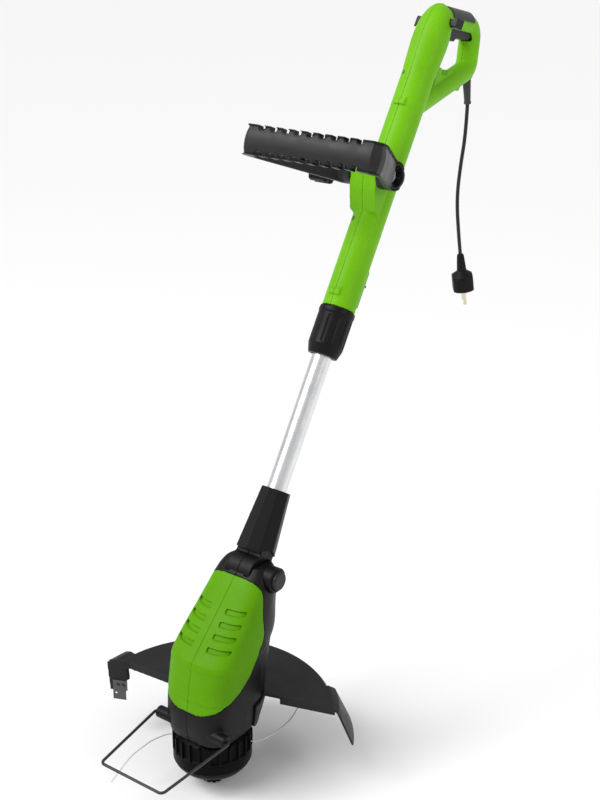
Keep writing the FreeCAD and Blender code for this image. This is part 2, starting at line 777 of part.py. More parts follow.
def armature_windings():
    low = ring_z(CAN_BOTTOM + 11.5, CAN_BOTTOM + 15, SHAFT_R + 2, 16.5)
    high = ring_z(CAN_TOP - 12, CAN_TOP - 8, SHAFT_R + 2, 16.5)
    return Part.makeCompound([low, high])


def commutator():
    return ring_z(CAN_BOTTOM + 5, CAN_BOTTOM + 11.5, SHAFT_R, 7.5)


def cooling_fan():
    hub = ring_z(77, 88, SHAFT_R, 7.5)
    disc = ring_z(86.5, 88, SHAFT_R, 23.5)
    blades = [spun(box(6.5, 23.0, -0.7, 0.7, 78, 87), a) for a in range(0, 360, 36)]
    return hub.fuse([disc] + blades)


# ---------------------------------------------------------------- spool and line
def spool_cap():
    """Upper half of the spool case: guide boss, roof, side wall and ring of outer fins."""
    rim = SPOOL_RIM
    roof = SPOOL_ROOF
    wall = SPOOL_R - 2.5
    case = revolved([(SHAFT_R, 0), (9, 0), (9, roof), (wall - 2.5, roof), (wall - 2.5, rim),
                     (SPOOL_R, rim), (SPOOL_R, rim + 3), (wall, rim + 4.5), (wall, roof + 2),
                     (wall - 5, SPOOL_TOP), (wall - 7.5, SPOOL_TOP), (wall - 7.5, roof + 3),
                     (12, roof + 3), (12, SPOOL_TOP + 4), (SHAFT_R, SPOOL_TOP + 4)])
    fins = [spun(box(wall - 1, SPOOL_R + 0.8, -1.2, 1.2, rim + 1.5, SPOOL_TOP - 2.5), a + 6)
            for a in range(0, 360, 15)]
    holes = [spun(Part.makeCylinder(3.0, 12, V(wall - 6, 0, EYELET_Z), V(1, 0, 0)), a)
             for a in EYELET_ANGLES]
    return case.fuse(fins).cut(holes)



def spool_drum():
    r = SPOOL_R
    outer = [(KNOB_R + GAP, -20), (31, -18.5), (40, -13.5), (45.5, -5), (r, 2), (r, SPOOL_RIM)]
    inner = [(r - 2.5, SPOOL_RIM), (r - 2.5, 2), (43.2, -3.6), (38.6, -11.4), (30.4, -16),
             (KNOB_R + GAP, -17.5)]
    return revolved(outer + inner)


def eyelet(angle):
    wall = SPOOL_R - 2.5
    body = Part.makeCylinder(3.0, 4.0, V(wall - 4, 0, EYELET_Z), V(1, 0, 0))
    lip = Part.makeCylinder(4.2, 1.2, V(wall, 0, EYELET_Z), V(1, 0, 0))
    bore = Part.makeCylinder(LINE_R, 20, V(wall - 8, 0, EYELET_Z), V(1, 0, 0))
    return spun(body.fuse(lip).cut(bore), angle)


REEL_TOP = SPOOL_ROOF - 6.0
REEL_BOTTOM = -15.5


def line_reel():
    top = REEL_TOP
    low = REEL_BOTTOM
    return revolved([(10, low), (27, low), (27, low + 2), (17, low + 2), (17, top - 2), (41, top - 2),
                     (41, top), (10, top)])


def line_winding():
    top = REEL_TOP - 2
    low = REEL_BOTTOM + 2
    return revolved([(17, low), (26, low), (36, low + 9), (36, top), (17, top)])


def bump_knob():
    body = revolved([(0, GROUND), (KNOB_R - 2.5, GROUND), (KNOB_R, GROUND + 6), (KNOB_R, REEL_BOTTOM),
                     (0, REEL_BOTTOM)])
    ribs = [spun(box(KNOB_R - 4.5, KNOB_R + 4, -1.6, 1.6, GROUND - 1, GROUND + 9), a)
            for a in range(0, 360, 30)]
    return body.cut(ribs)


def bump_spring():
    return moved(spring(13.0, 0.6, SPOOL_ROOF - REEL_TOP, 3), 0, 0, REEL_TOP)


def line_points(angle):
    """Nylon line leaving its eyelet and trailing behind the turn."""
    spots = [(41.5, 0.0), (55.0, 0.0), (72.0, 18.0), (88.0, 50.0), (98.0, 103.0)]
    points = []
    a = math.radians(angle)
    for x, y in spots:
        points.append(V(x * math.cos(a) - y * math.sin(a), x * math.sin(a) + y * math.cos(a), EYELET_Z))
    return points


def cutting_line(angle):
    return round_sweep(line_points(angle), [18.0, 50.0, 90.0], LINE_R)


# ---------------------------------------------------------------- shield, blade and wire guard
SHIELD_CX = -6.0
SHIELD_CY = 2.0
RIGHT_EDGE = [(13.0, 45.0), (57.0, 59.0), (150.0, 88.5), (175.0, 96.5)]
LEFT_EDGE = [(-45.0, 14.0), (-77.0, 11.0), (-140.0, 6.0), (-180.0, -12.0)]


def shield_plan(z0, z1):
    """Prism over the ground the shield covers."""
    points = list(reversed(LEFT_EDGE)) + RIGHT_EDGE + [(175, 190), (-190, 190)]
    return prism_z(points, z0, z1)


def shield_profile(kind):
    """Roof and skirt of the shield, turned about its own centre."""
    top = SHIELD_TOP
    w = SHIELD_WALL
    r = SHIELD_R
    if kind == "right":
        outer = [(48, top), (r, top), (r + 8, top - 5), (SHIELD_FLARE_R, 25)]
        inner = [(SHIELD_FLARE_R - w, 25), (r + 8 - w, top - 6.6), (r - 1, top - w), (48, top - w)]
    elif kind == "left":
        outer = [(48, top), (r + 4, top), (r + 14, top - 4), (r + 11, 28)]
        inner = [(r + 11 - w, 28), (r + 14 - w, top - 5.6), (r + 3, top - w), (48, top - w)]
    else:
        outer = [(48, top), (r - 4, top), (r, top - 5), (r + 1, 44)]
        inner = [(r + 1 - w, 44), (r - w, top - 6), (r - 5, top - w), (48, top - w)]
    return moved(revolved(outer + inner), SHIELD_CX, SHIELD_CY, 0)


def edge_wall(points, low):
    """Downturned flange along a front edge of the shield."""
    behind = [(x, y + 1.1 * SHIELD_WALL) for x, y in reversed(points)]
    return prism_z(points + behind, low, SHIELD_TOP)


def guard_shield():
    plan = shield_plan(0, 100)
    wedge_right = prism_z([(SHIELD_CX, SHIELD_CY), (200, 60), (200, 190), (118, 152)], 0, 100)
    wedge_left = prism_z([(SHIELD_CX, SHIELD_CY), (-200, 33), (-200, -60), (-60, -40)], 0, 100)
    right_end = shield_profile("right").common(wedge_right)
    left_end = shield_profile("left").common(wedge_left)
    middle = shield_profile("middle").cut([wedge_right, wedge_left])
    shape = middle.fuse([right_end, left_end]).common(plan)
    inside = cyl_z(20, SHIELD_TOP + 1, SHIELD_R + 3)
    inside.translate(V(SHIELD_CX, SHIELD_CY, 0))
    right = edge_wall(RIGHT_EDGE[1:3], 62).common(inside)
    left = edge_wall(LEFT_EDGE[1:4], 62).common(inside)
    shape = shape.fuse([right, left, shield_collar(), blade_bracket()])
    shape = shape.cut([head_volume(-RUN_FIT), cyl_z(0, HEAD_BOTTOM, 52.0)] + guard_lugs())
    holes = [cyl_z(0, 100, 1.5, x, y) for x, y in SHIELD_SCREWS]
    return shape.cut(holes + blade_screw_shanks())


def at_blade(shape):
    """Place a shape drawn with x outwards along the left front edge and y facing forwards."""
    (x0, y0), (x1, y1) = LEFT_EDGE[2], LEFT_EDGE[3]
    turned = spun(shape, math.degrees(math.atan2(y1 - y0, x1 - x0)))
    return moved(turned, x0, y0, 0)


BLADE_START = 5.0
BLADE_LENGTH = 19.0
BLADE_WALL = 1.2


def blade_bracket():
    plate = at_blade(box(BLADE_START + 1, 28, -SHIELD_WALL, 0, 28, SHIELD_TOP))
    limit = cyl_z(20, SHIELD_TOP, SHIELD_R + 11.0, SHIELD_CX, SHIELD_CY)
    return plate.common(limit)


def blade_screw_shanks():
    spots = (BLADE_START + 6, BLADE_START + 13)
    return [at_blade(Part.makeCylinder(1.3, 4, V(x, -2.6, 36), V(0, 1, 0))) for x in spots]


def cutter_blade():
    end = BLADE_START + BLADE_LENGTH
    plate = prism_z([(BLADE_START, 0), (end, 0), (end, BLADE_WALL), (BLADE_START, BLADE_WALL)], 16, 44)
    nick = prism_z([(BLADE_START - 1, -1), (BLADE_START + 5, -1), (BLADE_START - 1, 3)], 10, 30)
    slot = Part.makeCylinder(1.6, 4, V(end - 4, -1, 25), V(0, 1, 0))
    return at_blade(plate.cut([nick, slot])).cut(blade_screw_shanks())


def cutter_screws():
    screws = []
    for shank, x in zip(blade_screw_shanks(), (BLADE_START + 6, BLADE_START + 13)):
        head = at_blade(Part.makeCylinder(2.6, 1.6, V(x, BLADE_WALL, 36), V(0, 1, 0)))
        screws.append(shank.fuse(head))
    return Part.makeCompound(screws)


def shield_collar():
    """Rear wall and tongue that carry the shield on the back of the head."""
    low = HEAD_BOTTOM - SHIELD_WALL
    wrap = Part.makeLoft([egg(*level, -3.0) for level in HEAD_LEVELS[:3]], True, False)
    wall = wrap.common(box(-80, 80, 26, 120, HEAD_BOTTOM, SHIELD_TOP))
    foot = wrap.common(box(-80, 80, 26, 120, HEAD_BOTTOM, HEAD_BOTTOM + SHIELD_WALL))
    return wall.fuse(moved(foot, 0, 0, low - HEAD_BOTTOM))


def shield_screws():
    screws = []
    for x, y in SHIELD_SCREWS:
        low = HEAD_BOTTOM - SHIELD_WALL
        shank = cyl_z(low, 54, 1.5, x, y)
        head = cyl_z(low - 2.2, low, 3.0, x, y)
        screws.append(shank.fuse(head))
    return Part.makeCompound(screws)


def wire_guard():
    points = [V(-46.5, -36, 59), V(-57, -36, 59), V(-47, -142, 48), V(47, -142, 48),
              V(57, -36, 59), V(46.5, -36, 59)]
    return round_sweep(points, [4.0, 6.0, 6.0, 4.0], WIRE_R)


# ---------------------------------------------------------------- mains lead
def cord_strain_relief():
    start, direction = relief_axis()
    body = revolved([(0, -7), (7.5, -7), (7.5, -3), (5.6, -3), (5.6, 1.0), (5.4, 4),
                     (4.3, RELIEF_LENGTH - 4), (5.0, RELIEF_LENGTH - 2.5), (4.6, RELIEF_LENGTH),
                     (0, RELIEF_LENGTH)])
    return aimed(body, start, direction)


def cord_points():
    start, direction = relief_axis()
    first = start + direction * RELIEF_LENGTH
    steps = [(0, 0, 0), (-0.4, 0.2, -40), (-2.6, -5.6, -82), (-4.6, -7.4, -124), (-3.4, -2.6, -166),
             (-0.6, 3.0, -206)]
    return [first + V(*step) for step in steps]


def cord_radii():
    points = cord_points()
    radii = []
    for i in range(1, len(points) - 1):
        before = points[i] - points[i - 1]
        after = points[i + 1] - points[i]
        half_turn = before.getAngle(after) / 2
        radii.append(0.45 * min(before.Length, after.Length) / math.tan(half_turn))
    return radii


def mains_cord():
    radii = cord_radii()
    print("cord bend radii", [round(r, 1) for r in radii])
    return round_sweep(cord_points(), radii, CORD_R)


def plug_frame():
    points = cord_points()
    return points[-1], (points[-1] - points[-2]).normalize()


def mains_plug():
    tail = [(0, 0), (4.2, 0), (5.0, 3), (6.8, 24), (15.5, 30), (17.5, 34), (17.5, 50),
            (16.5, PLUG_FACE), (0, PLUG_FACE)]
    body = revolved(tail)
    flats = [box(-20, 20, 14.0, 25, -1, 60), box(-20, 20, -25, -14.0, -1, 60)]
    pins = [cyl_z(44, PLUG_FACE + 1, PLUG_ROOT_R, x, 0) for x in PLUG_PIN_X]
    base, direction = plug_frame()
    return aimed(body.cut(flats + pins), base, direction)


def plug_pins():
    base, direction = plug_frame()
    pins = []
    for x in PLUG_PIN_X:
        root = cyl_z(44, PLUG_FACE, PLUG_ROOT_R, x, 0)
        pin = cyl_z(PLUG_FACE, PLUG_FACE + PLUG_PIN_LENGTH, PLUG_PIN_R, x, 0)
        pins.append(aimed(root.fuse(pin), base, direction))
    return Part.makeCompound(pins)


def build_housing():
    left, right = housing_halves()
    save_shaft("handle_shell_left", left)
    save_shaft("handle_shell_right", right)
    save_shaft("handle_screws", screw_set(SCREW_SPOTS))
    save_shaft("grip_pad", grip_pad())
    save_shaft("trigger", trigger())
    save_shaft("trigger_pin", trigger_pin())
    save_shaft("trigger_switch", trigger_switch())
    save_shaft("lock_off_lever", lock_off_lever())
    save_shaft("rotation_latch", rotation_latch())
    save_shaft("latch_spring", latch_spring())


def build_shaft():
    save_shaft("swivel_sleeve", swivel_sleeve())
    save_shaft("locking_collar", locking_collar())
    save_shaft("clamp_ring", clamp_ring())
    save_shaft("shaft_tube", shaft_tube())
    save_shaft("tube_plugs", tube_plugs())
    save_shaft("inner_lead", inner_lead())
    save_shaft("aux_handle", aux_handle())
    save_shaft("aux_pivot_bolt", aux_pivot_bolt())
    save_shaft("aux_clamp_knob", aux_clamp_knob())
    left, right = neck_halves()
    save_shaft("neck_left", left)
    save_shaft("neck_right", right)
    save_shaft("neck_screws", neck_screw_set())


def build_head():
    black_left, black_right, cover_left, cover_right = head_pieces()
    save("head_shell_left", black_left)
    save("head_shell_right", black_right)
    save("motor_cover_left", cover_left)
    save("motor_cover_right", cover_right)
    save("head_screws", head_screw_set())
    save("tilt_pin", tilt_pin())
    save("tilt_button_bezel", tilt_button_bezel())
    save("tilt_button", tilt_button())
    save("tilt_button_spring", tilt_button_spring())
    save("guard_shield", guard_shield())
    save("shield_screws", shield_screws())
    save("cutter_blade", cutter_blade())
    save("cutter_screws", cutter_screws())
    save("wire_guard", wire_guard())


def build_drive():
    save("motor_can", motor_can())
    save("motor_magnets", motor_magnets())
    save("brush_plate", brush_plate())
    save("carbon_brushes", carbon_brushes())
    save("upper_bearing", bearing(CAN_TOP - 3, CAN_TOP))
    save("lower_bearing", bearing(CAN_BOTTOM, CAN_BOTTOM + 4))
    save("motor_shaft", motor_shaft())
    save("armature_core", armature_core())
    save("armature_windings", armature_windings())
    save("commutator", commutator())
    save("cooling_fan", cooling_fan())
    save("spool_cap", spool_cap())
    save("spool_drum", spool_drum())
    save("line_eyelets", Part.makeCompound([eyelet(a) for a in EYELET_ANGLES]))
    save("line_reel", line_reel())
    save("line_winding", line_winding())
    save("bump_knob", bump_knob())
    save("bump_spring", bump_spring())
    save("cutting_lines", Part.makeCompound([cutting_line(a) for a in EYELET_ANGLES]))


def build_lead():
    save("cord_strain_relief", cord_strain_relief())
    save("mains_cord", mains_cord())
    save("mains_plug", mains_plug())
    save("plug_pins", plug_pins())


build_housing()
build_shaft()
build_head()
build_drive()
build_lead()
print("origin", ORIGIN)
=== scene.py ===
import json
import math

import bpy
from mathutils import Matrix, Vector


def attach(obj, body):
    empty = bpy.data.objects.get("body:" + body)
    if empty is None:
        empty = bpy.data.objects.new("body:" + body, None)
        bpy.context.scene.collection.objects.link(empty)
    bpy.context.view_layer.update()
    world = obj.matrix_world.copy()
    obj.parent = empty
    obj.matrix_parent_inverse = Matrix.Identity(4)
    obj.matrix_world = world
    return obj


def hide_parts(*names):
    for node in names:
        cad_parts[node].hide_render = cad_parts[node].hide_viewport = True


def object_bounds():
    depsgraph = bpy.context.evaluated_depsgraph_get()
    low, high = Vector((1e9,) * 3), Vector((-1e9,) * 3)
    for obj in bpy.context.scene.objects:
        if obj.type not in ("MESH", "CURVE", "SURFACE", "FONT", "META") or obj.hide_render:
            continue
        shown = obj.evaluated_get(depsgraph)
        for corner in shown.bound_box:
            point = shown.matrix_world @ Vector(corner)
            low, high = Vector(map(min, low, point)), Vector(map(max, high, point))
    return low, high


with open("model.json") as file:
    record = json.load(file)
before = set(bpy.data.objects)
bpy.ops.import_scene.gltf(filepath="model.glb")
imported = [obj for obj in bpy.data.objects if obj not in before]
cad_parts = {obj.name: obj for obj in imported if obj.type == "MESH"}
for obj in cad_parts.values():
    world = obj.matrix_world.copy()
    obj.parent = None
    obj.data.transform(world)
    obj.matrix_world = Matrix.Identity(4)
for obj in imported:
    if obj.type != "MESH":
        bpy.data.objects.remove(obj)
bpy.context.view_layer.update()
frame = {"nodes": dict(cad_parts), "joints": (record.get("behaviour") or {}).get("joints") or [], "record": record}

MM = 0.001
JOINTS = {joint["name"]: joint for joint in frame["joints"]}
SPOOL = Vector(JOINTS["spool_spin"]["pos_m"])
PIVOT = Vector(JOINTS["head_tilt"]["pos_m"])
UP_SHAFT = Vector(JOINTS["shaft_telescope"]["axis"])
BEHIND = Vector((0, UP_SHAFT.z, -UP_SHAFT.y))
AUX_PIVOT = Vector(JOINTS["aux_handle_tilt"]["pos_m"])
AUX_OUT = Vector((0, -0.935, 0.355))
AUX_ACROSS = Vector((0, 0.355, 0.935))
AUX_MIDDLE = 70 * MM
AUX_HALF_WIDTH = 18.0
BODY_OF = {}
for body_name, members in frame["record"]["behaviour"]["bodies"].items():
    for member in members:
        BODY_OF[member] = body_name
SLOT_OF = {row["node"]: row["material_slot"] for row in frame["record"]["subparts"]}


def on_shaft(point):
    """(sideways, behind, up the shaft) from the tilt pivot, in millimetres."""
    offset = (point - PIVOT) / MM
    return offset.x, offset.dot(BEHIND), offset.dot(UP_SHAFT)


def on_head(point):
    """(x, y, z) from the spool's axis, in millimetres."""
    offset = (point - SPOOL) / MM
    return offset.x, offset.y, offset.z


# ---------------------------------------------------------------- camera
def make_camera():
    data = bpy.data.cameras.new("camera")
    data.lens = 60.88
    data.sensor_width = 36.0
    camera = bpy.data.objects.new("camera", data)
    bpy.context.scene.collection.objects.link(camera)
    forward = Vector((-0.55485574, 0.74831712, -0.36353349))
    right = Vector((0.80133153, 0.59816386, 0.00823271))
    up = Vector((-0.22361327, 0.28674288, 0.93154475))
    turn = Matrix((right, up, -forward)).transposed().to_4x4()
    place = SPOOL + Vector((905.46, -1048.845, 1003.274)) * MM
    camera.matrix_world = Matrix.Translation(place) @ turn
    bpy.context.scene.camera = camera


make_camera()


# ---------------------------------------------------------------- materials
def material(name):
    mat = bpy.data.materials.new(name)
    mat.use_nodes = True
    nodes = mat.node_tree.nodes
    links = mat.node_tree.links
    return mat, nodes, links, nodes["Principled BSDF"]


def noise_node(nodes, links, coordinates, scale, detail=4.0, rough=0.55):
    texture = nodes.new("ShaderNodeTexNoise")
    texture.inputs["Scale"].default_value = scale
    texture.inputs["Detail"].default_value = detail
    texture.inputs["Roughness"].default_value = rough
    links.new(coordinates, texture.inputs["Vector"])
    return texture


def ramp_node(nodes, links, source, low, high, stops=(0.35, 0.65)):
    ramp = nodes.new("ShaderNodeValToRGB")
    ramp.color_ramp.elements[0].position = stops[0]
    ramp.color_ramp.elements[1].position = stops[1]
    ramp.color_ramp.elements[0].color = (*low, 1)
    ramp.color_ramp.elements[1].color = (*high, 1)
    links.new(source, ramp.inputs["Fac"])
    return ramp


def range_node(nodes, links, source, low, high):
    mapped = nodes.new("ShaderNodeMapRange")
    mapped.inputs["From Min"].default_value = 0.3
    mapped.inputs["From Max"].default_value = 0.7
    mapped.inputs["To Min"].default_value = low
    mapped.inputs["To Max"].default_value = high
    links.new(source, mapped.inputs["Value"])
    return mapped.outputs["Result"]


def scaled(colour, share):
    return tuple(min(1.0, c * share) for c in colour)


def mix_colour(nodes, links, factor, first, second):
    mix = nodes.new("ShaderNodeMix")
    mix.data_type = "RGBA"
    links.new(factor, mix.inputs["Factor"])
    links.new(first, mix.inputs["A"])
    links.new(second, mix.inputs["B"])
    return mix.outputs["Result"]


def edge_wear(nodes, links):
    """Near 1 on sharp outer edges and 0 elsewhere."""
    geometry = nodes.new("ShaderNodeNewGeometry")
    mapped = nodes.new("ShaderNodeMapRange")
    mapped.inputs["From Min"].default_value = 0.54
    mapped.inputs["From Max"].default_value = 0.68
    links.new(geometry.outputs["Pointiness"], mapped.inputs["Value"])
    return mapped.outputs["Result"]


def moulded_plastic(name, colour, rough, grain=900.0, depth=0.12, worn=1.35, gloss=0.45):
    """Spark-eroded moulding texture, slow colour drift and slightly polished edges."""
    mat, nodes, links, shader = material(name)
    coordinates = nodes.new("ShaderNodeTexCoord").outputs["Object"]
    drift = noise_node(nodes, links, coordinates, 14.0)
    tone = ramp_node(nodes, links, drift.outputs["Fac"], scaled(colour, 0.9), scaled(colour, 1.08))
    speck = noise_node(nodes, links, coordinates, grain * 0.6, 2.0)
    fleck = ramp_node(nodes, links, speck.outputs["Fac"], scaled(colour, 0.8), scaled(colour, 1.15))
    wear = edge_wear(nodes, links)
    polished = nodes.new("ShaderNodeMix")
    polished.data_type = "RGBA"
    polished.inputs["Factor"].default_value = 0.25
    links.new(tone.outputs["Color"], polished.inputs["A"])
    links.new(fleck.outputs["Color"], polished.inputs["B"])
    bright = nodes.new("ShaderNodeRGB")
    bright.outputs[0].default_value = (*scaled(colour, worn), 1)
    links.new(mix_colour(nodes, links, wear, polished.outputs["Result"], bright.outputs[0]),
              shader.inputs["Base Color"])
    smears = noise_node(nodes, links, coordinates, 38.0, 6.0)
    links.new(range_node(nodes, links, smears.outputs["Fac"], rough - 0.05, rough + 0.09),
              shader.inputs["Roughness"])
    fine = noise_node(nodes, links, coordinates, grain, 3.0)
    bump = nodes.new("ShaderNodeBump")
    bump.inputs["Strength"].default_value = depth
    bump.inputs["Distance"].default_value = 0.0004
    links.new(fine.outputs["Fac"], bump.inputs["Height"])
    links.new(bump.outputs["Normal"], shader.inputs["Normal"])
    shader.inputs["Specular IOR Level"].default_value = gloss
    return mat


def metal(name, colour, rough, along, stretch=60.0):
    """Drawn metal: fine lines along one direction, with faint handling marks."""
    mat, nodes, links, shader = material(name)
    coordinates = nodes.new("ShaderNodeTexCoord").outputs["Object"]
    turned = nodes.new("ShaderNodeMapping")
    tilt = Vector((0, 0, 1)).rotation_difference(along).inverted().to_euler()
    turned.inputs["Rotation"].default_value = tilt
    links.new(coordinates, turned.inputs["Vector"])
    squeezed = nodes.new("ShaderNodeMapping")
    squeezed.inputs["Scale"].default_value = (1, 1, 1 / stretch)
    links.new(turned.outputs["Vector"], squeezed.inputs["Vector"])
    lines = noise_node(nodes, links, squeezed.outputs["Vector"], 1500.0, 3.0)
    tone = ramp_node(nodes, links, lines.outputs["Fac"], scaled(colour, 0.9), scaled(colour, 1.05))
    links.new(tone.outputs["Color"], shader.inputs["Base Color"])
    marks = noise_node(nodes, links, coordinates, 60.0, 5.0)
    links.new(range_node(nodes, links, marks.outputs["Fac"], rough - 0.04, rough + 0.1),
              shader.inputs["Roughness"])
    bump = nodes.new("ShaderNodeBump")
    bump.inputs["Strength"].default_value = 0.08
    bump.inputs["Distance"].default_value = 0.0002
    links.new(lines.outputs["Fac"], bump.inputs["Height"])
    links.new(bump.outputs["Normal"], shader.inputs["Normal"])
    shader.inputs["Metallic"].default_value = 1.0
    return mat


def rubber(name, colour, rough=0.62):
    mat = moulded_plastic(name, colour, rough, 1400.0, 0.22, 1.15, 0.3)
    mat.node_tree.nodes["Principled BSDF"].inputs["Sheen Weight"].default_value = 0.12
    return mat


GREEN = (0.158, 0.465, 0.004)
# the handle green darkened: painted shade on the head's cover, the same plastic as the handle
SHADED_COVER_GREEN = (0.096, 0.292, 0.002)
BLACK = (0.0045, 0.0045, 0.0050)
GREY = (0.017, 0.017, 0.0182)

MATERIALS = {
    "green_plastic": moulded_plastic("green_plastic", GREEN, 0.40, 1100.0, 0.06, 1.2, 0.14),
    "black_plastic": moulded_plastic("black_plastic", BLACK, 0.42, 800.0, 0.16, 2.4, 0.16),
    "grey_plastic": moulded_plastic("grey_plastic", GREY, 0.40, 800.0, 0.14, 1.6, 0.24),
    "soft_grip": rubber("soft_grip", (0.036, 0.036, 0.039)),
    "cord_sheath": rubber("cord_sheath", (0.010, 0.010, 0.011), 0.5),
    "white_plastic": moulded_plastic("white_plastic", (0.56, 0.56, 0.54), 0.4),
    "nylon_line": moulded_plastic("nylon_line", (0.62, 0.64, 0.60), 0.3, 700.0, 0.05),
    "tube_metal": metal("tube_metal", (0.80, 0.805, 0.815), 0.26, UP_SHAFT),
    "steel": metal("steel", (0.42, 0.42, 0.43), 0.36, Vector((1, 0, 0))),
    "magnet": moulded_plastic("magnet", (0.06, 0.06, 0.065), 0.55),
    "copper": metal("copper", (0.72, 0.38, 0.20), 0.35, Vector((1, 0, 0)), 12.0),
    "lead_core": rubber("lead_core", (0.03, 0.03, 0.03)),
    "plug_brass": metal("plug_brass", (0.72, 0.66, 0.50), 0.28, Vector((0, 0, 1))),
    "black_wire": metal("black_wire", (0.016, 0.016, 0.017), 0.36, Vector((0, 1, 0))),
    # green_cover is the handle green darkened, with less gloss: painted shade for the head's cover and the
    # air-slot sheet
    "green_cover": moulded_plastic("green_cover", SHADED_COVER_GREEN, 0.44, 1100.0, 0.06, 1.25, 0.07),
    "shield_plastic": moulded_plastic("shield_plastic", scaled(BLACK, 2.6), 0.46, 700.0, 0.2, 2.0, 0.22),
    "spool_plastic": moulded_plastic("spool_plastic", scaled(BLACK, 0.4), 0.40, 800.0, 0.14, 2.4, 0.06),
    "dark_steel": metal("dark_steel", (0.11, 0.11, 0.115), 0.42, Vector((1, 0, 0))),
}
MATERIALS["black_wire"].node_tree.nodes["Principled BSDF"].inputs["Metallic"].default_value = 0.0


def paint(obj, name):
    obj.data.materials.clear()
    obj.data.materials.append(MATERIALS[name])


for node_name, node in frame["nodes"].items():
    paint(node, SLOT_OF[node_name])
for node_name in ("handle_screws", "head_screws", "neck_screws", "cutter_blade", "cutter_screws"):
    paint(frame["nodes"][node_name], "dark_steel")
paint(frame["nodes"]["wire_guard"], "black_wire")


# ---------------------------------------------------------------- mains lead
CORD_POINTS = [
    (0.0, 0.0376, -0.10769), (-0.0004, 0.0378, -0.14769), (-0.0026, 0.032, -0.18969),
    (-0.0046, 0.0302, -0.23169), (-0.0034, 0.035, -0.27369), (-0.0006, 0.0406, -0.31369),
]


def smooth_cord():
    data = bpy.data.curves.new("mains_lead", "CURVE")
    data.dimensions = "3D"
    data.resolution_u = 16
    data.bevel_depth = 2.5 * MM
    data.bevel_resolution = 6
    data.use_fill_caps = True
    spline = data.splines.new("NURBS")
    spline.points.add(len(CORD_POINTS) - 1)
    for point, place in zip(spline.points, CORD_POINTS):
        point.co = (*place, 1.0)
    spline.order_u = 3
    spline.use_endpoint_u = True
    lead = bpy.data.objects.new("mains_lead", data)
    bpy.context.scene.collection.objects.link(lead)
    paint(lead, "cord_sheath")
    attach(lead, "housing")
    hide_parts("mains_cord")
    return lead


lead = smooth_cord()


# ---------------------------------------------------------------- moulded pieces
def remeshed(node_name, voxel, passes, keep, shape=None, finish=None):
    """Fine even mesh of a CAD node with moulded, rounded edges and added surface detail."""
    piece = bpy.data.objects.new(node_name + "_moulded", frame["nodes"][node_name].data.copy())
    bpy.context.scene.collection.objects.link(piece)
    fine = piece.modifiers.new("fine", "REMESH")
    fine.mode = "VOXEL"
    fine.voxel_size = voxel * MM
    soft = piece.modifiers.new("soft", "SMOOTH")
    soft.factor = 0.5
    soft.iterations = passes
    settle(piece)
    if shape:
        displace(piece.data, shape)
    if keep < 1:
        fewer = piece.modifiers.new("fewer", "DECIMATE")
        fewer.ratio = keep
        settle(piece)
    piece.data.polygons.foreach_set("use_smooth", [True] * len(piece.data.polygons))
    paint(piece, finish or SLOT_OF[node_name])
    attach(piece, BODY_OF[node_name])
    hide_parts(node_name)
    return piece


def settle(piece):
    """Apply the piece's modifiers to its mesh."""
    graph = bpy.context.evaluated_depsgraph_get()
    graph.update()
    mesh = bpy.data.meshes.new_from_object(piece.evaluated_get(graph))
    piece.modifiers.clear()
    piece.data = mesh


def displace(mesh, shape):
    """Move each point by the vector shape(point, normal), in millimetres."""
    moves = [shape(vertex.co, vertex.normal) for vertex in mesh.vertices]
    for vertex, move in zip(mesh.vertices, moves):
        vertex.co += move * MM


BODY_SKIN = (19.6, 23.5)
BODY_LINES = [(441, 0.35), (437, -0.2), (596, 0.3)]
BODY_STEP = 648
STEP_HEIGHT = 0.45
COVER_LINES = [(96.5, 1.2, 0.45), (101.0, 1.6, -0.25), (140.0, 2.4, -0.5)]
RIB_PITCH = 10.0
RIB_DEPTH = 0.8
RIB_AREA_Y = (38, 84)
RIB_AREA_Z = (72, 158)
RIB_FADE = 6
DOME_LIFT = 4.0
DOME_EDGE = 3
DOME_DEPTH = 17
TAB_ROOT = 21.8
TAB_REACH = 9
TAB_MIDDLE = 718.5
TAB_WIDER = 5.0
TAB_TALLER = 0.5
AUX_EDGE_DROP = 3.6


def groove(distance, width, depth):
    """Rounded groove or, with a negative depth, ridge."""
    return -depth * math.exp(-(distance / width) ** 2)


def handle_detail(point, normal):
    """Shallow lines round the handle's round body, and its slightly wider upper part."""
    x, n, s = on_shaft(point)
    r = math.hypot(x, n)
    if r > BODY_SKIN[1] or r < BODY_SKIN[0]:
        return Vector()
    lines = sum(groove(s - place, 0.9, depth) for place, depth in BODY_LINES)
    if s < 690:
        step = STEP_HEIGHT / (1 + math.exp((BODY_STEP - s) / 0.5))
    else:
        step = STEP_HEIGHT * max(0.0, (710 - s) / 20)
    return normal * (lines + step)


def cover_detail(point, normal):
    """Shallow line round the foot of the cover and a soft crease below the air slots."""
    z = on_head(point)[2]
    if normal.y > 0.2 and abs(normal.x) < 0.5:
        return Vector()
    return normal * sum(groove(z - place, width, depth) for place, width, depth in COVER_LINES)


def shell_detail(point, normal):
    """Slanting ribs on both flanks of the head."""
    x, y, z = on_head(point)
    margin = min(y - RIB_AREA_Y[0], RIB_AREA_Y[1] - y, z - RIB_AREA_Z[0], RIB_AREA_Z[1] - z)
    if abs(normal.x) < 0.55 or abs(x) < 30 or margin <= 0:
        return Vector()
    phase = (z - 0.6 * y) % RIB_PITCH - RIB_PITCH / 2
    return normal * (groove(phase, 1.5, RIB_DEPTH) * min(1.0, margin / RIB_FADE))


def drum_detail(point, normal):
    """The drum's closed end is a little shallower than its CAD dome, so the knob stands proud."""
    depth = DOME_EDGE - on_head(point)[2]
    return Vector((0, 0, DOME_LIFT * min(1.0, max(0.0, depth / DOME_DEPTH))))


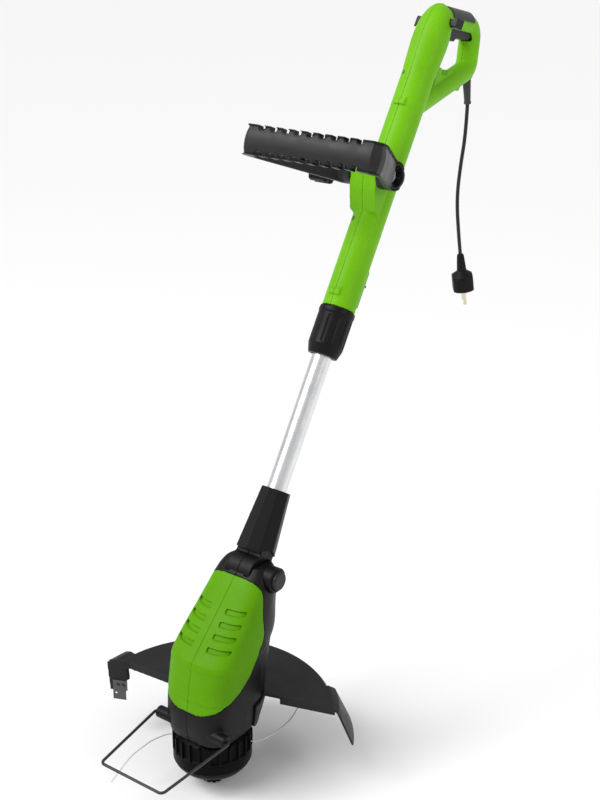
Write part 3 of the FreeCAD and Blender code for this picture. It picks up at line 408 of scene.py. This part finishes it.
def tab_detail(point, normal):
    """Fuller thumb tabs on both sides of the lock-off slide."""
    x, n, s = on_shaft(point)
    if abs(x) < TAB_ROOT:
        return Vector()
    reach = (abs(x) - TAB_ROOT) / TAB_REACH
    outwards = Vector((math.copysign(TAB_WIDER * reach, x), 0, 0))
    return outwards + UP_SHAFT * (TAB_TALLER * (s - TAB_MIDDLE) * min(1.0, reach))


def aux_detail(point, normal):
    """The band's outer face is a rounded half-tube, falling off towards both edges."""
    across = (point - AUX_PIVOT).dot(AUX_ACROSS) / MM
    centre = AUX_PIVOT + AUX_OUT * AUX_MIDDLE
    if abs(normal.dot(AUX_ACROSS)) > 0.6 or normal.dot(point - centre) < 0:
        return Vector()
    return normal * (-AUX_EDGE_DROP * min(1.0, abs(across) / AUX_HALF_WIDTH) ** 2.2)


# node, voxel size, smoothing passes, share of faces kept, added shape, finish
MOULDED = [
    ("handle_shell_left", 0.9, 5, 0.5, handle_detail, None),
    ("handle_shell_right", 0.9, 5, 0.5, handle_detail, None),
    # the motor covers take the darkened green, painted shade
    ("motor_cover_left", 0.8, 4, 0.6, cover_detail, "green_cover"),
    ("motor_cover_right", 0.8, 4, 0.6, cover_detail, "green_cover"),
    ("head_shell_left", 0.9, 5, 0.5, shell_detail, None),
    ("head_shell_right", 0.9, 5, 0.5, shell_detail, None),
    ("aux_handle", 0.9, 6, 0.5, aux_detail, None),
    ("aux_clamp_knob", 0.7, 5, 0.6, None, None),
    ("neck_left", 0.8, 5, 0.6, None, None),
    ("neck_right", 0.8, 5, 0.6, None, None),
    ("guard_shield", 0.8, 4, 0.5, None, "shield_plastic"),
    ("locking_collar", 0.6, 4, 0.6, None, None),
    ("trigger", 0.5, 5, 0.6, None, None),
    ("lock_off_lever", 0.5, 5, 0.6, tab_detail, None),
    ("rotation_latch", 0.4, 4, 0.6, None, None),
    ("grip_pad", 0.5, 4, 0.8, None, None),
    ("tilt_button", 0.4, 4, 0.6, None, None),
    ("tilt_button_bezel", 0.4, 4, 0.6, None, None),
    ("bump_knob", 0.5, 4, 0.8, None, "spool_plastic"),
    ("spool_drum", 0.6, 4, 0.6, drum_detail, "spool_plastic"),
    ("spool_cap", 0.5, 3, 0.6, None, "spool_plastic"),
    ("cord_strain_relief", 0.4, 4, 0.8, None, None),
]
for row in MOULDED:
    remeshed(*row)
plug = remeshed("mains_plug", 0.4, 6, 0.8)


# ---------------------------------------------------------------- air slots
CROWN = [(145.0, -34.8, 47.0, 44.0), (178.0, -2.1, 44.0, 38.0), (205.0, 24.8, 40.0, 32.0)]
FLOOR_INSET = 3.5
FLOOR_LOW = 153.5
FLOOR_HEIGHT = 44
FLOOR_ROWS = 24
FLOOR_COLUMNS = 60
FRONT_POWER = 0.62


def crown_section(z):
    """Front, half width and nose depth of the head's top at one height."""
    low, high = (CROWN[0], CROWN[1]) if z < CROWN[1][0] else (CROWN[1], CROWN[2])
    share = (z - low[0]) / (high[0] - low[0])
    return [a + share * (b - a) for a, b in zip(low[1:], high[1:])]


def slot_floor():
    """Curved sheet just under the cover's skin, which closes the air slots like louvres."""
    points = []
    for i in range(FLOOR_ROWS + 1):
        z = FLOOR_LOW + FLOOR_HEIGHT * i / FLOOR_ROWS
        front, half, nose = crown_section(z)
        for j in range(FLOOR_COLUMNS + 1):
            a = math.radians(190 + 160 * j / FLOOR_COLUMNS)
            x = (half - FLOOR_INSET) * math.copysign(abs(math.cos(a)) ** FRONT_POWER, math.cos(a))
            y = front + nose - (nose - FLOOR_INSET) * abs(math.sin(a)) ** FRONT_POWER
            points.append(SPOOL + Vector((x, y, z)) * MM)
    width = FLOOR_COLUMNS + 1
    faces = [(i * width + j, i * width + j + 1, (i + 1) * width + j + 1, (i + 1) * width + j)
             for i in range(FLOOR_ROWS) for j in range(FLOOR_COLUMNS)]
    mesh = bpy.data.meshes.new("air_slot_floor")
    mesh.from_pydata(points, [], faces)
    sheet = bpy.data.objects.new("air_slot_floor", mesh)
    bpy.context.scene.collection.objects.link(sheet)
    thick = sheet.modifiers.new("thick", "SOLIDIFY")
    thick.thickness = 0.7 * MM
    thick.offset = 0
    settle(sheet)
    sheet.data.polygons.foreach_set("use_smooth", [True] * len(sheet.data.polygons))
    # the sheet takes the darkened cover green, painted shade
    paint(sheet, "green_cover")
    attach(sheet, "head")


slot_floor()


# ---------------------------------------------------------------- floor and light
def make_floor():
    low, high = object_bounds()
    bpy.ops.mesh.primitive_plane_add(size=80.0, location=(0, 0, low.z - 0.5 * MM))
    floor = bpy.context.object
    floor.name = "floor"
    mat, nodes, links, shader = material("floor")
    shader.inputs["Base Color"].default_value = (0.90, 0.90, 0.90, 1)
    shader.inputs["Roughness"].default_value = 0.8
    floor.data.materials.append(mat)


def soft_light(name, place, target, size, power):
    data = bpy.data.lights.new(name, "AREA")
    data.shape = "DISK"
    data.size = size
    data.energy = power
    light = bpy.data.objects.new(name, data)
    bpy.context.scene.collection.objects.link(light)
    aim = (Vector(target) - Vector(place)).to_track_quat("-Z", "Y").to_matrix().to_4x4()
    light.matrix_world = Matrix.Translation(Vector(place)) @ aim


def wide_sun(name, towards, strength, softness):
    """Even light from far away; softness is the width of its source in degrees."""
    data = bpy.data.lights.new(name, "SUN")
    data.energy = strength
    data.angle = math.radians(softness)
    light = bpy.data.objects.new(name, data)
    bpy.context.scene.collection.objects.link(light)
    light.matrix_world = Vector(towards).to_track_quat("-Z", "Y").to_matrix().to_4x4()


def make_light():
    world = bpy.data.worlds.new("studio")
    world.use_nodes = True
    world.node_tree.nodes["Background"].inputs["Color"].default_value = (1, 1, 1, 1)
    seen = world.node_tree.nodes.new("ShaderNodeLightPath")
    strength = world.node_tree.nodes.new("ShaderNodeMapRange")
    strength.inputs["To Min"].default_value = 0.6
    strength.inputs["To Max"].default_value = 0.97
    world.node_tree.links.new(seen.outputs["Is Camera Ray"], strength.inputs["Value"])
    background = world.node_tree.nodes["Background"]
    world.node_tree.links.new(strength.outputs["Result"], background.inputs["Strength"])
    bpy.context.scene.world = world
    wide_sun("key", (0.45, 0.75, -1.0), 1.9, 40)
    middle = (0, -0.25, -0.4)
    soft_light("strip", (-1.3, -1.8, 1.3), middle, 0.7, 12)
    soft_light("side", (2.2, -0.2, 0.7), middle, 0.8, 7)
    bpy.context.scene.view_settings.view_transform = "Standard"


make_floor()
make_light()
